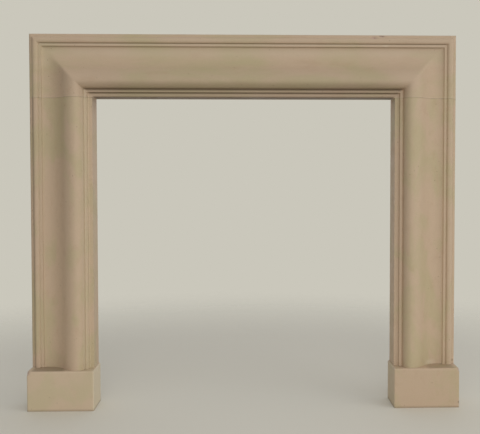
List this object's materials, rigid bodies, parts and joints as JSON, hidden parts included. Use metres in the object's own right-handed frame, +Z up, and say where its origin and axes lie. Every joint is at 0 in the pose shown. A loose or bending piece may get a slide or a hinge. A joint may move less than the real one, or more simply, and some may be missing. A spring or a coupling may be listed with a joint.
{
  "type": "fireplace mantelpiece",
  "caption": "Stone fire surround with a heavy bolection moulding: a mitred lintel on jambs with plain foot blocks, set against a wall to frame a fireplace opening.",
  "frame": {"origin": "on the hearth, in the middle of the surround's width and of its depth from the wall", "axes": "+X along the lintel to the viewer's right, -Y the moulded front, +Y the flat back against the wall, +Z up"},
  "size_m": [1.302, 0.114, 1.134],
  "materials": {
    "stone": "honed buff limestone, matt, softly mottled from pinkish buff to olive"
  },
  "bodies": {
    "root": {"lintel": "stone", "left_jamb": "stone", "right_jamb": "stone", "left_foot_block": "stone", "right_foot_block": "stone"}
  },
  "joints": []
}
